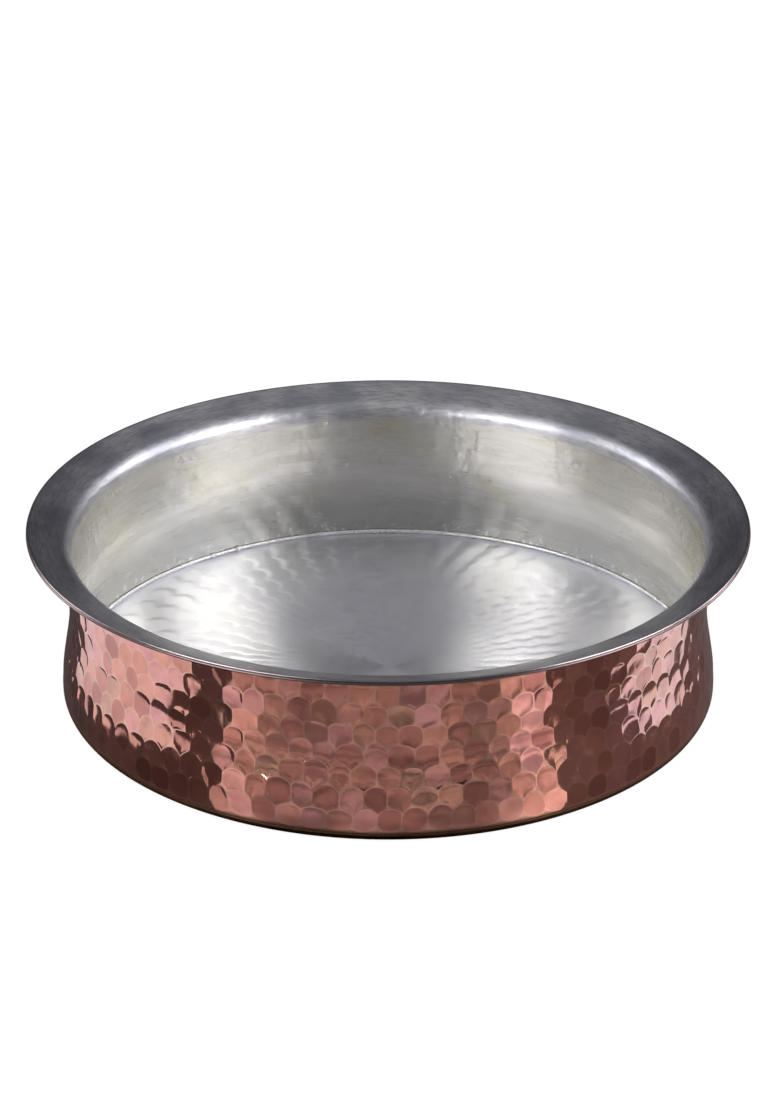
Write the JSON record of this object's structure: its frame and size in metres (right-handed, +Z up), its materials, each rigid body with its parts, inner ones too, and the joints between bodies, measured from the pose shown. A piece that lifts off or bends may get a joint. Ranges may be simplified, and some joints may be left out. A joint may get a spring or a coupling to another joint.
{
  "type": "cooking pot",
  "caption": "Wide, shallow, hammered copper cooking pot with a sloping brim to lift it by and a tinned inside, for stewing, frying and serving.",
  "frame": {"origin": "centre of the base's underside, on the surface that the pot stands on", "axes": "+Z up along the pot's axis; the pot is round, so +X and +Y are any two directions across it"},
  "size_m": [0.36, 0.3598, 0.09],
  "materials": {
    "hammered_copper": "copper, hammered all over and polished bright",
    "base_copper": "copper, scuffed and darkened by the stove",
    "braze": "brass braze, filed flush",
    "wall_tin": "hand-wiped tin, warm grey, soft gloss",
    "floor_tin": "hand-wiped tin over planished copper, cool grey, satin",
    "bead_tin": "bright tin as it ran into the corner"
  },
  "bodies": {
    "root": {"side_wall": "hammered_copper", "base_pan": "base_copper", "foot_braze": "braze", "wall_lining": "wall_tin", "floor_lining": "floor_tin", "seam_bead": "bead_tin"}
  },
  "joints": []
}
